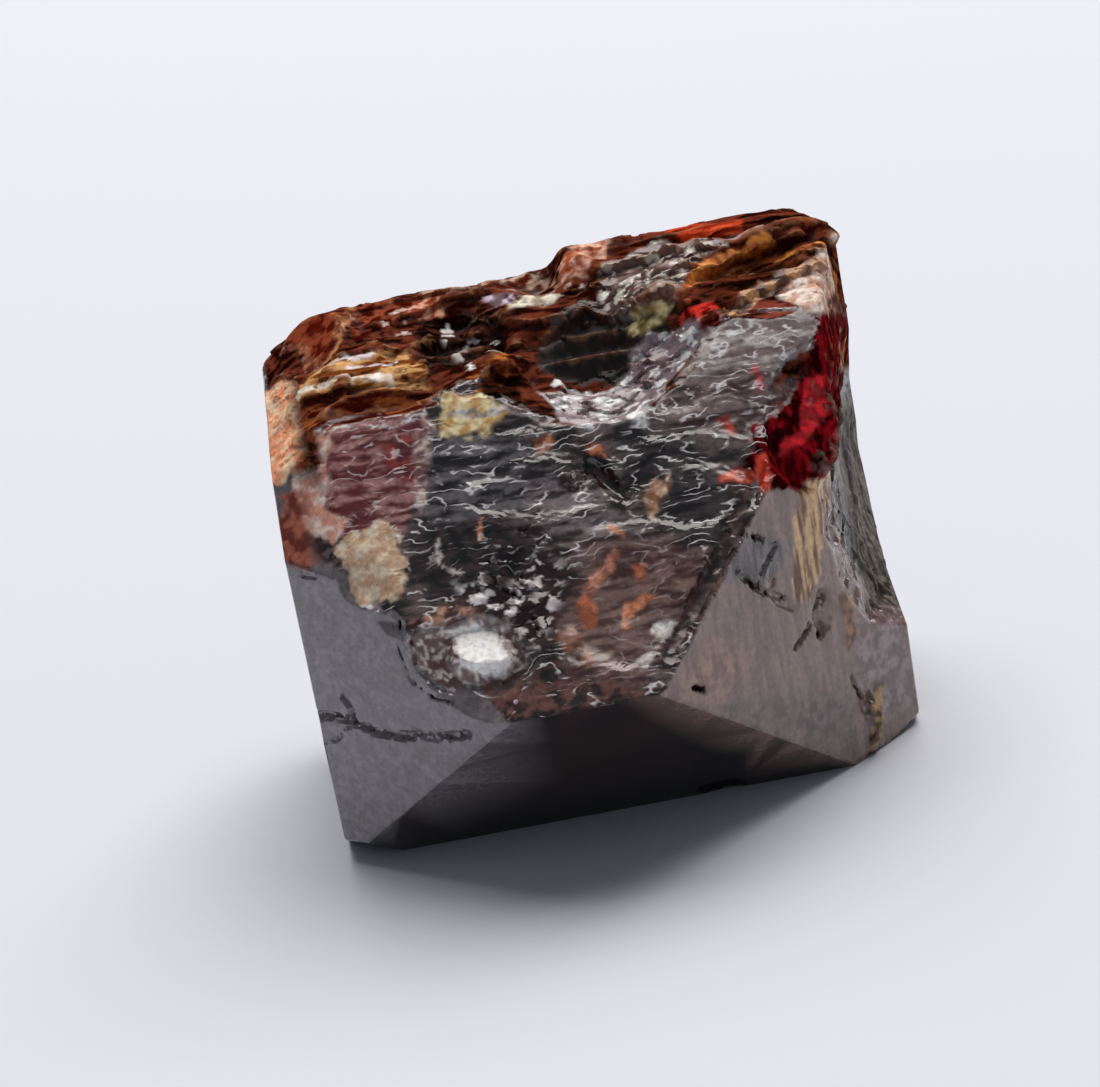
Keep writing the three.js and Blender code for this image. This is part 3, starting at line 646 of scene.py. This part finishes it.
    "tanSpot": ("crown", [(-4.8, -4.2), (-3.2, -4.3), (-2.6, -4.9), (-3.4, -5.7), (-5, -5.4)],
        "#ffecb8", "#dcac60", "mottle", 1, 0.1, 0.4),
    # painted glow: the deep red window, its hot core and its rim stand in for light shining through the
    # thin corner
    "window": ("corner", [(9.6, 18.4), (10.3, 18), (12.4, 16), (12.4, 12.3), (10.7, 11.9), (9.9, 12),
        (8.8, 12.4), (8.2, 12.2), (6.7, 13), (6, 13.7), (6.7, 14.8), (6.9, 15.2), (8.2, 15.4),
        (9.3, 16.7), (9.9, 17.7)], "#8c101a", "#2c0508", "strand", 1, 0.15, 0.6),
    "windowHot": ("corner", [(9.2, 16), (10, 15.6), (9.6, 14.6), (8.6, 13.9), (7.4, 13.5), (7.5, 14.1),
        (8.6, 14.6), (9, 15.2)], "#ff2030", "#a81420", "mottle", 0.9, 0.15, 0.5),
    "windowRim": ("corner", [(10.9, 17.8), (12.4, 17), (12.4, 12.4), (11.5, 12.6), (11.5, 15.2),
        (10.7, 17)], "#6c2428", "#1c0608", "strand", 0.9, 0.3, 0.6),
    "sideGrime": ("side", [(-7.5, 0), (-7.5, 11), (-4.5, 11.5), (-1, 12.5), (7, 13.5), (7, 0)],
        "#857d75", "#342c2a", "strand", 0.9, 0.1, 0.6),
    "backLip": ("back", [(-14, 15), (14, 15), (14, 22), (-14, 22)], "#5c2c20", "#1c0c08", "streak",
        0.85, 0.3, 0.6),
}

# thin marks, painted glints and glows among them: facet, path, half width in mm, two colours, cover,
# see-through share, roughness
strokesAndPaintedLight = {
    "filmEdge": ("upper", [(-10.2, 17.25), (-5.6, 17.3)], 0.07, "#ffffff", "#e0c0bc", 0.9, 0.1, 0.3),
    "rustHigh": ("upper", [(0.6, 12.8), (1, 12.4)], 0.14, "#f0a070", "#b86840", 0.9, 0.15, 0.4),
    "rustLong": ("upper", [(-0.8, 10.8), (-0.1, 11.3), (0.5, 11.8)], 0.26, "#f0a080", "#a86450", 0.85,
        0.15, 0.4),
    "rustLeft": ("upper", [(-1, 10.5), (-0.8, 10)], 0.32, "#f08458", "#a8542c", 0.9, 0.15, 0.4),
    "rustSlant": ("upper", [(0.5, 9.8), (0.8, 10.2), (1.4, 10.6)], 0.2, "#f89868", "#b86438", 0.9, 0.15,
        0.4),
    "rustSpot": ("upper", [(1.3, 11.3), (1.5, 11.1)], 0.26, "#e88460", "#9c5038", 0.9, 0.15, 0.4),
    "rustFoot": ("upper", [(-1.8, 9.8), (-1.4, 9)], 0.4, "#a86844", "#5c3020", 0.7, 0.2, 0.4),
    "satinEdge": ("upper", [(2.4, 15.7), (3.6, 16.8), (5, 17.5), (7.2, 18.2), (9.5, 18.5), (10, 17.8)],
        0.08, "#ffffff", "#c8bcb8", 0.95, 0.1, 0.3),
    "satinLow": ("upper", [(9.9, 17.8), (9.2, 16.3), (8.1, 15.2), (6.7, 15), (5.4, 15.4)], 0.09,
        "#d8c8c4", "#80605c", 0.8, 0.1, 0.3),
    "slateTop": ("upper", [(-4.6, 17), (-2.6, 16.9), (-1.2, 16.4)], 0.1, "#e8e4e4", "#8c8484", 0.9, 0.1,
        0.3),
    "chipLip": ("front", [(-9.8, 13.4), (-8.9, 13.95), (-8.1, 14.05), (-7.3, 13.5)], 0.14, "#fff2dc",
        "#dcb890", 0.9, 0.1, 0.4),
    "poolLine": ("upper", [(-5.9, 13.2), (-5.9, 12.6), (-5.3, 12.2)], 0.08, "#dcd4d0", "#8c7c78", 0.9,
        0.1, 0.3),
    "poolTick": ("upper", [(-4.3, 13.7), (-4.4, 13.3)], 0.12, "#f0a47c", "#c06c44", 1, 0.1, 0.35),
    "rimHigh": ("top", [(11.5, 0.7), (10.3, 0.2), (9, 0.6), (7.6, 0.5), (6.3, -0.3), (5.1, -1.9)], 0.2,
        "#ffa044", "#b85c1c", 0.95, 0.15, 0.5),
    "rimLow": ("top", [(11, -0.6), (9.6, -1.6), (8.4, -2.1), (6.9, -3.1)], 0.3, "#e8ac74", "#64341c",
        0.9, 0.15, 0.4),
    "blockDash": ("top", [(7.4, 1.2), (8.9, 1.5)], 0.16, "#dcc4c4", "#84544c", 0.8, 0.15, 0.35),
    "leftArc": ("top", [(-7.9, 3.6), (-8.1, 2), (-8.7, 0.6), (-9.9, -0.2)], 0.17, "#e8985c", "#a05428",
        0.9, 0.15, 0.4),
    "cornerArc": ("top", [(-10.6, 2.4), (-9.9, 0.9), (-9.6, 0)], 0.13, "#d88450", "#8c4420", 0.8, 0.15,
        0.4),
    # painted reflections: the pale and lilac streaks on the left treads stand in for the window mirrored
    # in them
    "paleLip": ("top", [(-10.3, -1.9), (-8.4, -2.2), (-6.6, -2.5)], 0.15, "#fff4e8", "#e4c8a8", 1, 0.05,
        0.35),
    "lilacDash": ("top", [(-9.4, -0.9), (-8.4, -0.5), (-7.4, -0.7)], 0.16, "#f4e8ee", "#b89ca4", 1, 0.1,
        0.3),
    "lilacLow": ("top", [(-8.2, -1.2), (-6.4, -1.5)], 0.13, "#f0e4ea", "#b89ca4", 0.9, 0.1, 0.3),
    "bandLine": ("top", [(-9.6, -3.3), (-7.6, -3.6), (-5.6, -3.7)], 0.12, "#b87444", "#743c1c", 0.8,
        0.2, 0.4),
    # painted highlight: a bright line along the lip below the middle glint
    "whiteLipGlint": ("top", [(-0.4, -3.2), (1, -3.4), (2.4, -3.3)], 0.15, "#f4f4f6", "#b4b0b4", 1, 0.05,
        0.25),
    "hollowEdge": ("top", [(-0.6, -1.2), (1.4, 0), (3, -1.2)], 0.14, "#5c3420", "#2c140c", 0.8, 0.15,
        0.4),
    "tickLow": ("front", [(1.6, 9.35), (2.2, 9.55)], 0.3, "#ffffff", "#e4dcd4", 1, 0.05, 0.5),
    "tickFoot": ("front", [(0.5, 8.4), (1.1, 8.6)], 0.18, "#ece4dc", "#b8a8a0", 1, 0.05, 0.4),
    "stainLong": ("right", [(9.2, 7), (9.5, 6.2), (9.4, 5.2)], 0.45, "#b87c50", "#64341c", 0.9, 0.15,
        0.4),
    "goldenGrain": ("right", [(10.1, 2.6), (10, 1.6), (9.7, 0.4)], 0.4, "#c89c54", "#5c4020", 0.95, 0.1,
        0.4),
    "grooveShade": ("front", [(5.6, 12.9), (4.3, 11.1), (3.1, 9.8), (1.9, 8.7)], 0.42, "#5c3c38",
        "#22100f", 0.9, 0.2, 0.4),
    # painted glow: bright red-orange specks beside the window
    "emberLeft": ("upper", [(5.4, 13.7), (6.2, 13.4)], 0.28, "#ff6838", "#a02c14", 0.95, 0.15, 0.3),
    "emberRight": ("corner", [(6.8, 13.9), (6.7, 13.2)], 0.34, "#ff5030", "#c42c14", 1, 0.15, 0.3),
    "satinSpark": ("upper", [(7.3, 16.7), (7.4, 16.1)], 0.22, "#f04838", "#a82418", 0.95, 0.2, 0.3),
    "satinSparkLow": ("upper", [(5.7, 15.4), (5.9, 14.8)], 0.2, "#e85038", "#982c18", 0.95, 0.2, 0.3),
}


def patternAt(points, size, octaves, low, high):
    return ramp(noisesAt(points, size, octaves), low, high)


def grainsAt(points):  # the patterns that mix a stain's two colours, each from 0 to 1
    cells = [noise.voronoi(Vector(point)) for point in points / stone["chipCell"]]
    shade = np.array([noise.cell(centres[0] * 23.7) for _, centres in cells])
    grains = {name: patternAt(points, *pattern) for name, pattern in stone["patterns"].items()}
    grains["chips"] = ramp(shade, *stone["chips"])
    grains["flakes"] = ramp(shade, *stone["flakes"])
    grains["marble"] = 1 - ramp(np.abs(noisesAt(points, stone["swirl"], 3)), *stone["vein"])
    return grains


def crestsOf(piece):  # mm that a point stands above its neighbours, below zero in a hollow
    points = pointsOf(piece)
    pairs = np.empty(len(piece.data.edges) * 2, np.int32)
    piece.data.edges.foreach_get("vertices", pairs)
    ends = pairs.reshape(-1, 2)
    count = np.bincount(pairs, minlength=len(points))[:, None]
    even = points.copy()
    for _ in range(stone["crestRounds"]):
        total = np.zeros_like(even)
        for axis in range(3):
            total[:, axis] = (np.bincount(ends[:, 0], even[ends[:, 1], axis], len(points))
                              + np.bincount(ends[:, 1], even[ends[:, 0], axis], len(points)))
        even = 0.5 * even + 0.5 * total / count
    return ((points - even) * vectorsOf(piece, "normal")).sum(axis=1)


def mapOf(points, facet):  # the two directions an outline on the facet is drawn in, in true mm
    axes, stretch = stone["maps"][facet]
    return points[:, axes] * np.array(stretch)


def drawnOn(path, facet):  # a path given in mm on the facet's map, in true mm
    return np.array(path) * np.array(stone["maps"][facet][1])


def depthIn(flat, outline):  # mm inside the outline, below zero outside it
    ring = np.vstack([outline, outline[:1]])
    inside = np.zeros(len(flat), bool)
    for start, end in zip(ring, ring[1:]):
        rises = (start[1] > flat[:, 1]) != (end[1] > flat[:, 1])
        crossing = start[0] + (flat[:, 1] - start[1]) * (end[0] - start[0]) / (end[1] - start[1] + 1e-9)
        inside ^= rises & (flat[:, 0] < crossing)
    return np.where(inside, 1, -1) * gapTo(flat, ring)


def nearFacets(points, normals):  # how far each point belongs to each facet, from 0 to 1
    x, y, z = points.T
    lyingFlat = ramp(normals[:, 2], 0.78, 0.9)
    gaps = {face: np.abs(heightOver(points, face)) for face in ("upper", "lower", "left", "right")}
    nearest = np.min(list(gaps.values()), axis=0)
    near = {}
    for face, gap in gaps.items():
        near[face] = (1 - ramp(gap, 0.8, 1.6)) * (1 - ramp(gap - nearest, 0, 0.1))
    begin, end = stone["mapFrom"], stone["mapTo"]
    high = ramp(z + 0.3 * np.abs(y + 5), *crystal["topFrom"])
    notBack = 1 - ramp(y, *crystal["backFrom"])
    outOfRight = heightOver(points, "right")
    near["top"] = np.maximum(1 - ramp(heightOver(points, "upper"), -0.35, -0.12), lyingFlat)
    near["top"] *= high * notBack * ramp(x, *begin["top"])
    near["upper"] *= 1 - near["top"]
    near["upper"] *= ramp(gaps["lower"], 0.02, 0.2)
    near["front"] = (1 - ramp(nearest, 2.2, 3.0)) * (1 - near["top"])
    near["wall"] = near["top"] * (1 - ramp(y, *end["wall"]))
    near["crown"] = ramp(z, *begin["crown"]) * notBack
    near["back"] = ramp(y, *begin["back"])
    near["edge"] = 1 - ramp(x, *end["edge"])
    near["side"] = ramp(x, *begin["side"]) * (1 - ramp(outOfRight, -1.2, -0.4))
    near["side"] *= 1 - ramp(y, *end["side"])
    near["corner"] = ramp(z, *begin["corner"]) * ramp(outOfRight, -4.3, -3.1)
    return near


def paintStainsAndLight(piece):  # lays every stain and painted light on the skin and keeps the sum as the piece's own attributes
    points = pointsOf(piece)
    areas = regionsOf(points)
    grains = grainsAt(points)
    crest = crestsOf(piece)
    near = nearFacets(points, vectorsOf(piece, "normal"))
    noise.seed_set(stone["seed"])
    bent = points
    for waves, reach in stone["ragged"]:
        bent = bent + reach * np.array([noise.noise_vector(Vector(point)) for point in points * waves])
    # columns: colour, see-through share, roughness
    skin = np.tile([*linear(stone["body"])[:3], 1.0, stone["polish"]], (len(points), 1))

    def lay(mask, bright, dark, grain, clear, rough):
        bright, dark = np.array(linear(bright)[:3]), np.array(linear(dark)[:3])
        tint = dark + grain[:, None] * (bright - dark)
        goal = np.column_stack([tint, np.full(len(points), clear), np.full(len(points), rough)])
        skin[:] += mask[:, None] * (goal - skin)

    for name, (facet, outline, bright, dark, grain, cover, clear, rough) in stainsAndPaintedLight.items():
        depth = depthIn(mapOf(bent, facet), drawnOn(outline, facet))
        soft = stone["softEdges"].get(name, stone["softEdge"])
        mask = cover * ramp(depth, -soft, 1.2 * soft) * near[facet]
        if grain == "flakes":  # shows only where its pattern is
            mask, grain = mask * grains[grain], "mottle"
        lay(mask, bright, dark, grains[grain], clear, rough)
    for facet, path, width, bright, dark, cover, clear, rough in strokesAndPaintedLight.values():
        gap = gapTo(mapOf(bent, facet), drawnOn(path, facet))
        mask = cover * (1 - ramp(gap, 0.6 * width, 1.2 * width)) * near[facet]
        lay(mask, bright, dark, grains["mottle"], clear, rough)
    cracked = np.zeros(len(points))
    for path, width, _ in crystal["cracks"].values():
        cracked = np.maximum(cracked, ramp(crackAt(points, path, 0.95 * width), 0.2, 0.7))
    # painted edge light on the crests and painted shade in the hollows
    for region, low, high, bright, dark, cover, clear, rough in stone["crestLightAndHollowShade"]:
        mask = cover * ramp(crest, low, high) * areas[region] * (1 - cracked)
        lay(mask, bright, dark, grains["mottle"], clear, rough)
    # painted shade darkens the cracks
    bright, dark, clear, rough = stone["crackShade"]
    lay(cracked, bright, dark, grains["mottle"], clear, rough)
    # where growth lines show, broken into short runs, to be painted pale as a highlight
    runs = patternAt(points, *stone["litGrowthLines"]["runs"])
    litLines = 1 - ramp(np.abs(heightOver(points, "upper")), 0.15, 0.4)
    litLines *= near["upper"] * runs * (1 - cracked)
    for name, share in stone["unlined"].items():
        facet, outline = stainsAndPaintedLight[name][:2]
        litLines *= 1 - share * ramp(depthIn(mapOf(points, facet), drawnOn(outline, facet)), -0.2, 0.2)
    # the stain attribute holds the stains with the painted glints, glows, sheen and shade, and the
    # finish attribute holds where growth lines are painted pale
    for title, columns in (("stainAndPaintedLight", skin[:, :3]), ("finishAndLitLines", np.column_stack([skin[:, 3:], litLines]))):
        attribute = piece.data.attributes.new(title, "FLOAT_VECTOR", "POINT")
        attribute.data.foreach_set("vector", columns.astype(np.float32).ravel())
    print("stains laid:", len(stainsAndPaintedLight) + len(strokesAndPaintedLight))


def stainColour(tree, apart, metres):  # stains and painted light, and growth lines painted pale as highlights
    drawn = stone["litGrowthLines"]
    grain = stone["grainContrast"]
    stainAndPaintedLight = addNode(tree, "Attribute", {"attribute_name": "stainAndPaintedLight"}).outputs["Vector"]
    fine = addNode(tree, "TexNoise", {
        "Scale": 1 / (stone["fineGrain"] * mm), "Detail": 3.0, "Roughness": 0.6,
    }, [("Vector", metres)]).outputs["Fac"]
    contrast = addNode(tree, "MapRange", {
        "From Min": grain["from"][0], "From Max": grain["from"][1],
        "To Min": grain["to"][0], "To Max": grain["to"][1],
    }, [("Value", fine)]).outputs[0]
    ground = addNode(tree, "VectorMath", {"operation": "SCALE"},
                     [(0, stainAndPaintedLight), ("Scale", contrast)]).outputs[0]
    # growth lines: thin level curves of an uneven slope, raised, and painted pale as a highlight
    along = addNode(tree, "VectorMath", {"operation": "MULTIPLY", 1: drawn["stretch"]},
                    [(0, metres)]).outputs[0]
    uneven = addNode(tree, "TexNoise", {
        "Scale": 1 / (drawn["waves"] * mm), "Detail": 3.0, "Roughness": 0.5,
    }, [("Vector", along)]).outputs["Fac"]
    downhill = Vector((0, -slope, -1)).normalized() / (drawn["apart"] * mm)
    fall = addNode(tree, "VectorMath", {"operation": "DOT_PRODUCT", 1: downhill},
                   [(0, metres)]).outputs["Value"]
    level = addNode(tree, "Math", {"operation": "MULTIPLY_ADD", 1: drawn["wander"]},
                    [(0, uneven), (2, fall)]).outputs[0]
    tooth = addNode(tree, "Math", {"operation": "PINGPONG", 1: 0.5}, [(0, level)]).outputs[0]
    thread = addNode(tree, "MapRange", {
        "From Min": 0.0, "From Max": drawn["width"], "To Min": 1.0, "To Max": 0.0,
    }, [("Value", tooth)]).outputs[0]
    litLine = addNode(tree, "Math", {"operation": "MULTIPLY"},
                   [(0, thread), (1, apart.outputs[2])]).outputs[0]
    colour = addNode(tree, "Mix", {"data_type": "RGBA", 7: linear(drawn["colour"])},
                     [(0, litLine), (6, ground)]).outputs[2]
    raised = addNode(tree, "Math", {"operation": "ADD"}, [(0, fine), (1, litLine)]).outputs[0]
    return colour, litLine, raised


# Zircon bends light almost as hard as diamond, so clean faces mirror the room like dark glass and thin
# edges glow deep red; where the skin is broken it is packed with flaws and shows its stain, with painted
# glints, glows, sheen and shade, instead, and the dullest breaks are a plain crust.
def zirconMaterial():
    material = bpy.data.materials.new("zircon")
    material.use_nodes = True
    tree = material.node_tree
    bsdf = tree.nodes["Principled BSDF"]
    output = tree.nodes["Material Output"]
    bsdf.inputs["IOR"].default_value = stone["ior"]
    bsdf.inputs["Specular IOR Level"].default_value = stone["lustre"]
    absorb = addNode(tree, "VolumeAbsorption", {
        "Color": linear(stone["absorbColour"]), "Density": stone["absorbDensity"]})
    metres = addNode(tree, "TexCoord", {}).outputs["Object"]
    finishAndLitLines = addNode(tree, "Attribute", {"attribute_name": "finishAndLitLines"}).outputs["Vector"]
    apart = addNode(tree, "SeparateXYZ", {}, [(0, finishAndLitLines)])
    colour, litLine, raised = stainColour(tree, apart, metres)
    clear = addNode(tree, "Math", {"operation": "SUBTRACT", "use_clamp": True},
                    [(0, apart.outputs[0]), (1, litLine)]).outputs[0]
    bump = addNode(tree, "Bump", {"Distance": stone["fineHeight"] * mm},
                   [("Strength", apart.outputs[1]), ("Height", raised)]).outputs[0]
    crust = addNode(tree, "BsdfDiffuse", {}, [("Color", colour), ("Normal", bump)])
    crusted = addNode(tree, "MapRange", {
        "From Min": stone["crustFrom"], "From Max": stone["crustFull"],
    }, [("Value", apart.outputs[1])]).outputs[0]
    mixed = addNode(tree, "MixShader", {},
                    [(0, crusted), (1, bsdf.outputs[0]), (2, crust.outputs[0])])
    tree.links.new(colour, bsdf.inputs["Base Color"])
    tree.links.new(clear, bsdf.inputs["Transmission Weight"])
    tree.links.new(apart.outputs[1], bsdf.inputs["Roughness"])
    tree.links.new(bump, bsdf.inputs["Normal"])
    tree.links.new(mixed.outputs[0], output.inputs["Surface"])
    tree.links.new(absorb.outputs["Volume"], output.inputs["Volume"])
    print("zircon material:", len(tree.nodes), "nodes")
    return material


paintStainsAndLight(piece)
piece.data.materials.clear()
piece.data.materials.append(zirconMaterial())

# Uncoated white paper: a dull, faintly blue sheet that throws light back up into the stone.
sheet = {"size": 3.0, "colour": "#e6ebf5", "roughness": 0.9}  # metres


def makeFloor():
    bpy.ops.mesh.primitive_plane_add(size=sheet["size"], location=(0, 0, 0))
    floor = bpy.context.object
    floor.name = "floor"
    paper = bpy.data.materials.new("paper")
    paper.use_nodes = True
    bsdf = paper.node_tree.nodes["Principled BSDF"]
    bsdf.inputs["Base Color"].default_value = linear(sheet["colour"])
    bsdf.inputs["Roughness"].default_value = sheet["roughness"]
    floor.data.materials.append(paper)
    print("floor laid")
    return floor


makeFloor()

# place in mm, angles in degrees, focal length in mm on a 36 mm sensor
view = {"at": (-3.33, -119.16, 53.84), "pitch": 20.5, "yaw": 0.8, "roll": 10.3, "lens": 101.42,
        "near": 5}


def makeCamera():
    data = bpy.data.cameras.new("camera")
    data.lens = view["lens"]
    data.sensor_width = 36
    data.clip_start = view["near"] * mm
    camera = addObject("camera", data)
    turn = (Matrix.Rotation(math.radians(-view["yaw"]), 4, "Z")
            @ Matrix.Rotation(math.radians(90 - view["pitch"]), 4, "X")
            @ Matrix.Rotation(math.radians(-view["roll"]), 4, "Z"))
    camera.matrix_world = Matrix.Translation(Vector(view["at"]) * mm) @ turn
    print("camera placed")
    return camera


bpy.context.scene.camera = makeCamera()

# A big window behind the stone to the right, a weak ceiling in front of it, and a dim room.
# Places and sizes in metres, power in watts.
studio = {
    "room": "#dfe6f2",
    "roomStrength": 0.14,
    "aim": (0, 0, 0.01),
    "lamps": {
        "window": {"at": (0.14, 0.4, 0.92), "size": 1.0, "power": 13.0, "colour": "#fffaf5"},
        "ceiling": {"at": (-0.1, -0.55, 0.85), "size": 0.9, "power": 0.15, "colour": "#eef2fb"},
    },
}


def lightRoom():
    world = bpy.data.worlds.new("room")
    world.use_nodes = True
    backdrop = world.node_tree.nodes["Background"]
    backdrop.inputs["Color"].default_value = linear(studio["room"])
    backdrop.inputs["Strength"].default_value = studio["roomStrength"]
    bpy.context.scene.world = world
    for name, lamp in studio["lamps"].items():
        data = bpy.data.lights.new(name, "AREA")
        data.shape = "SQUARE"
        data.size = lamp["size"]
        data.energy = lamp["power"]
        data.color = linear(lamp["colour"])[:3]
        light = addObject(name, data)
        light.location = lamp["at"]
        ray = Vector(studio["aim"]) - Vector(lamp["at"])
        light.rotation_euler = ray.to_track_quat("-Z", "Y").to_euler()
    bpy.context.scene.view_settings.view_transform = "Standard"
    print("room lit:", len(studio["lamps"]), "lamps")


lightRoom()
